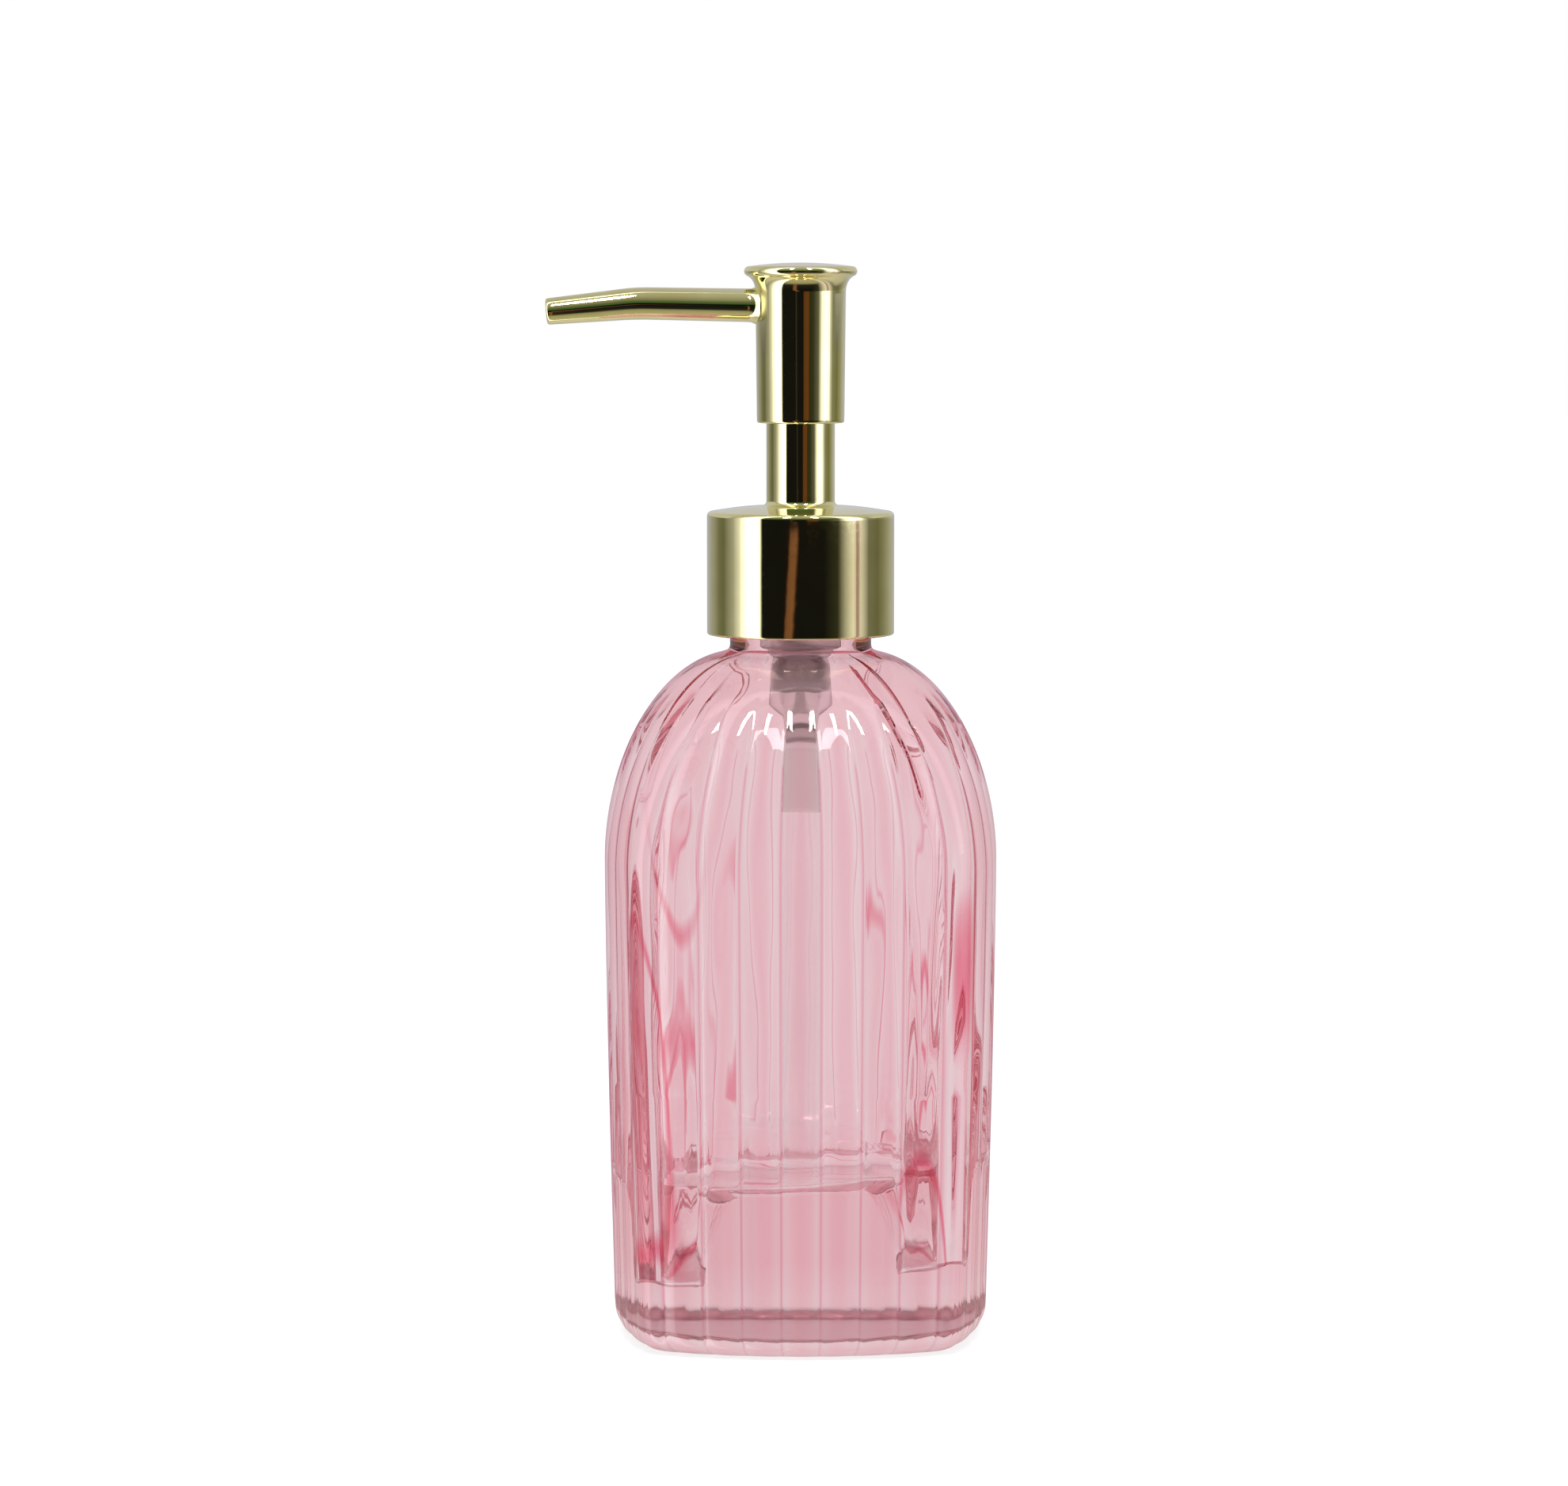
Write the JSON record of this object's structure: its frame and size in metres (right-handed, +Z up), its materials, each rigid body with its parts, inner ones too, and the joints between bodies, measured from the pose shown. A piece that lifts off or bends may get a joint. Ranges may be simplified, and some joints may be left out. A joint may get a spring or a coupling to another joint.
{
  "type": "lotion pump dispenser",
  "caption": "Ribbed square glass bottle with a domed shoulder and a lotion pump: screw collar with a riser, telescoping head and a bent side spout.",
  "frame": {"origin": "centre of the foot's flat underside, on the pump's axis", "axes": "+Z up along the pump's axis, the spout points to -X, +Y to the back"},
  "size_m": [0.0816, 0.0712, 0.1937],
  "materials": {
    "pink_glass": "clear pink tint, fire polished",
    "gold": "mirror metallised pale gold",
    "housing_plastic": "translucent natural polypropylene",
    "inner_plastic": "natural white polypropylene",
    "piston_plastic": "soft polyethylene",
    "tube_plastic": "translucent polyethylene",
    "foam": "closed-cell foam",
    "spring_steel": "drawn stainless wire",
    "ball_steel": "polished steel"
  },
  "bodies": {
    "bottle": {"bottle": "pink_glass"},
    "pump": {"neck_gasket": "foam", "pump_housing": "housing_plastic", "lock_ring": "inner_plastic", "ball_cage": "inner_plastic", "return_spring": "spring_steel", "dip_tube": "tube_plastic"},
    "closure": {"screw_closure": "inner_plastic", "collar_shell": "gold"},
    "plunger": {"piston": "piston_plastic"},
    "actuator": {"valve_rod": "inner_plastic", "stem": "inner_plastic", "head_core": "inner_plastic", "head_shell": "gold", "spout": "gold", "spout_liner": "inner_plastic"},
    "ball": {"inlet_ball": "ball_steel"}
  },
  "joints": [
    {"name": "pump_lift", "type": "slide", "parent": "bottle", "child": "pump", "axis": [0, 0, 1], "range_m": [0, 0.00636]},
    {"name": "collar_turn", "type": "hinge", "parent": "pump", "child": "closure", "pos_m": [0, 0, 0.138], "axis": [0, 0, 1], "range_deg": [0, 540]},
    {"name": "head_press", "type": "slide", "parent": "pump", "child": "plunger", "axis": [0, 0, -1], "range_m": [0, 0.0135], "stiffness_N_per_m": 700, "springref_m": -0.009, "deforming": ["return_spring"]},
    {"name": "head_swivel", "type": "hinge", "parent": "plunger", "child": "actuator", "pos_m": [0, 0, 0.186], "axis": [0, 0, 1], "continuous": true},
    {"name": "inlet_ball_lift", "type": "slide", "parent": "pump", "child": "ball", "axis": [0, 0, 1], "range_m": [0, 0.0012]}
  ],
  "couplings": [
    {"joint": "pump_lift", "follows": "collar_turn", "m_per_rad": 0.00067376}
  ]
}
